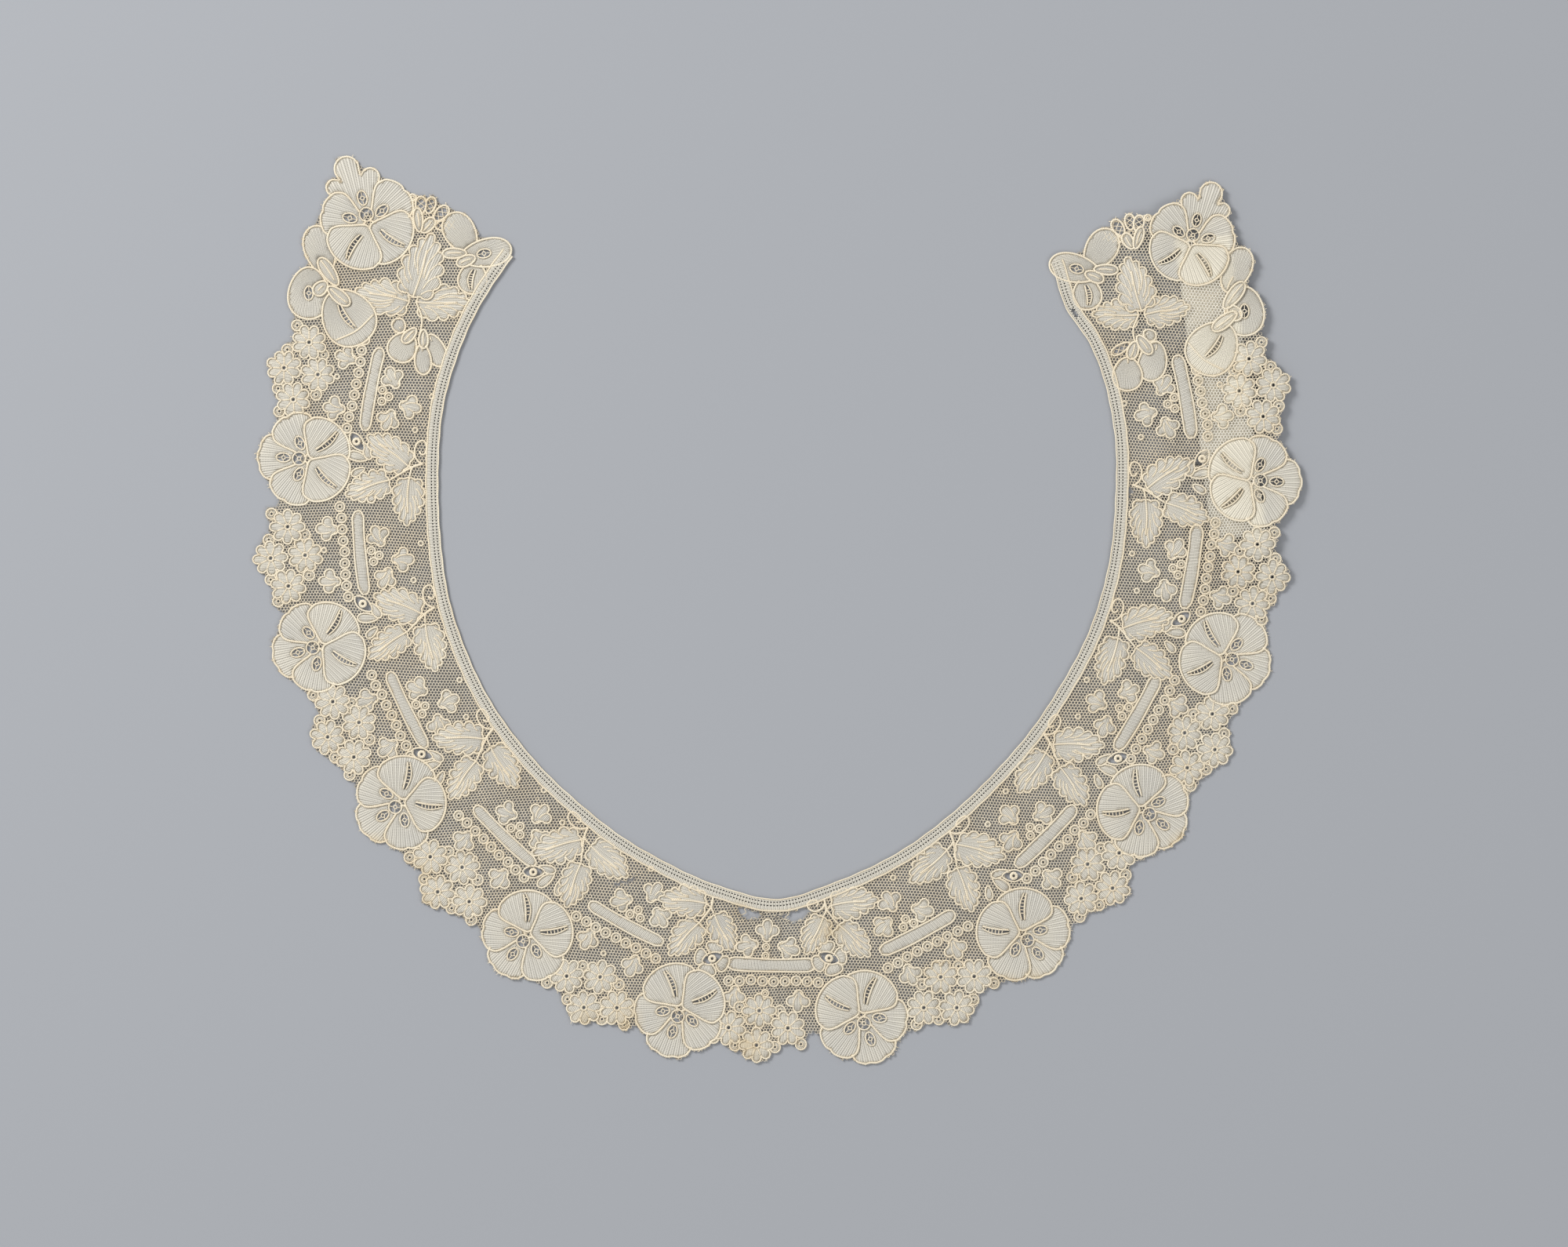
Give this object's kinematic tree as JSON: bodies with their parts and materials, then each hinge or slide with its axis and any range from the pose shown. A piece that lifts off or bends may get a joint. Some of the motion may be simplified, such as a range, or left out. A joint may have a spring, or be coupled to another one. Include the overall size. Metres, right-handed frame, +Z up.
{
  "type": "lace collar",
  "caption": "Flat, open U-shaped collar of needle lace: a net ground with raised flowers, leaf sprays, florets and bars, an edged neck band and a label tape beneath.",
  "frame": {"origin": "on the underside of the neck band, at the middle of its width at the centre back", "axes": "+Z up, away from the surface that the collar lies on; +Y from the centre back towards the two open ends; +X to the right as the collar lies, towards the end with the label tape"},
  "size_m": [0.2937, 0.2543, 0.003],
  "materials": {
    "band": "matte ivory thread",
    "ground": "matte ivory net",
    "toile": "matte ivory stitched lace",
    "thread": "matte cream thread",
    "label": "matte cream tape"
  },
  "bodies": {
    "root": {"neck_band": "band", "flower_left_1": "toile", "flower_left_2": "toile", "flower_left_3": "toile", "flower_left_4": "toile", "flower_left_5": "toile", "flower_right_1": "toile", "flower_right_2": "toile", "flower_right_3": "toile", "flower_right_4": "toile", "flower_right_5": "toile", "end_flower_left": "toile", "profile_left": "toile", "corner_bloom_left": "toile", "bud_bloom_left": "toile", "edge_sprig_left": "toile", "end_flower_right": "toile", "profile_right": "toile", "corner_bloom_right": "toile", "bud_bloom_right": "toile", "edge_sprig_right": "toile", "leaf_spray_left_1": "toile", "leaf_spray_left_2": "toile", "leaf_spray_left_3": "toile", "leaf_spray_left_4": "toile", "leaf_spray_left_5": "toile", "leaf_spray_right_1": "toile", "leaf_spray_right_2": "toile", "leaf_spray_right_3": "toile", "leaf_spray_right_4": "toile", "leaf_spray_right_5": "toile", "end_leaf_left": "toile", "end_leaf_right": "toile", "posy_left_1": "thread", "posy_left_2": "thread", "posy_left_3": "thread", "posy_left_4": "thread", "posy_left_5": "thread", "posy_right_1": "thread", "posy_right_2": "thread", "posy_right_3": "thread", "posy_right_4": "thread", "posy_right_5": "thread", "posy_centre": "thread", "bar_left_1": "toile", "bar_left_2": "toile", "bar_left_3": "toile", "bar_left_4": "toile", "bar_left_5": "toile", "bar_right_1": "toile", "bar_right_2": "toile", "bar_right_3": "toile", "bar_right_4": "toile", "bar_right_5": "toile", "bar_centre": "toile", "net_ground": "ground", "net_end_left": "ground", "net_corner_left": "ground", "label_tape": "label"}
  },
  "joints": []
}
